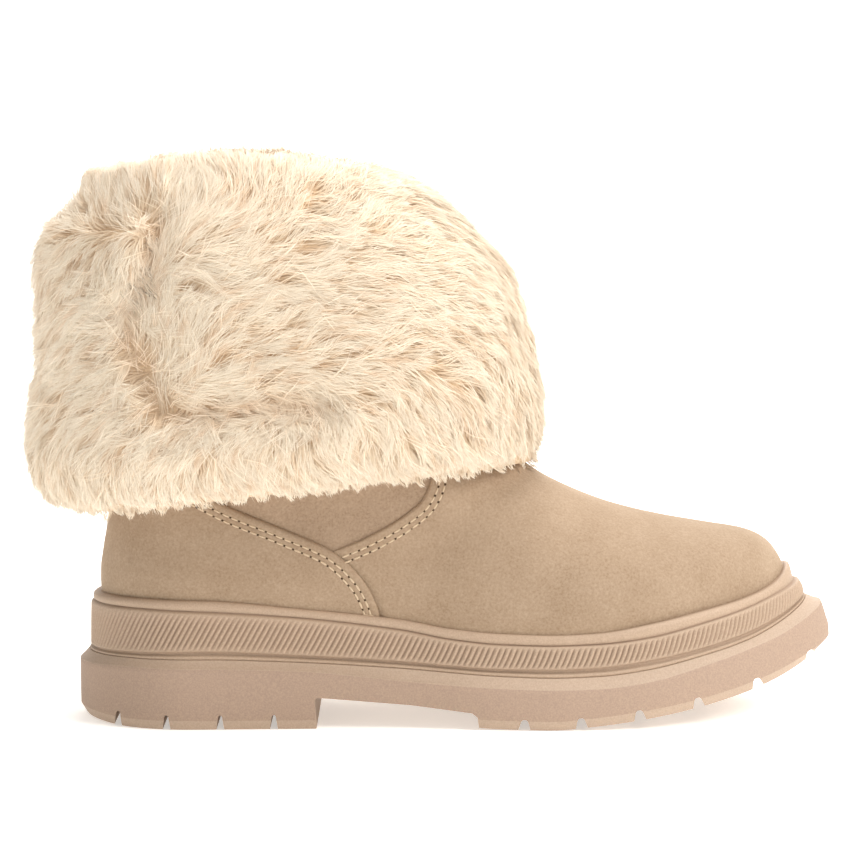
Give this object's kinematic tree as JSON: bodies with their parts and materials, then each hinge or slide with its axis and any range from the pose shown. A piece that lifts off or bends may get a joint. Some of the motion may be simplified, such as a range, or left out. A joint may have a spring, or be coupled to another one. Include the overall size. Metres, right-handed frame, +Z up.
{
  "type": "sheepskin boot",
  "caption": "Right ankle boot in suede-like sheepskin with a turned-down long fur cuff, overlaid side panels, a ribbed midsole band and a lugged rubber outsole.",
  "frame": {"origin": "on the floor under the middle of the heel seat", "axes": "+X towards the toe, +Y towards the inner side of the foot, +Z up"},
  "size_m": [0.307, 0.1506, 0.2134],
  "materials": {
    "outsole": "matte moulded rubber, tan",
    "midsole": "matte moulded rubber, pale tan",
    "insole": "short cream pile",
    "upper": "brushed nubuck, tan",
    "panel": "brushed nubuck, tan",
    "fur": "long cream fur with tan depths"
  },
  "bodies": {
    "root": {"outsole": "outsole", "midsole": "midsole", "insole": "insole", "upper": "upper", "quarter_panel": "panel", "vamp_panel": "panel", "fur_cuff": "fur"}
  },
  "joints": []
}
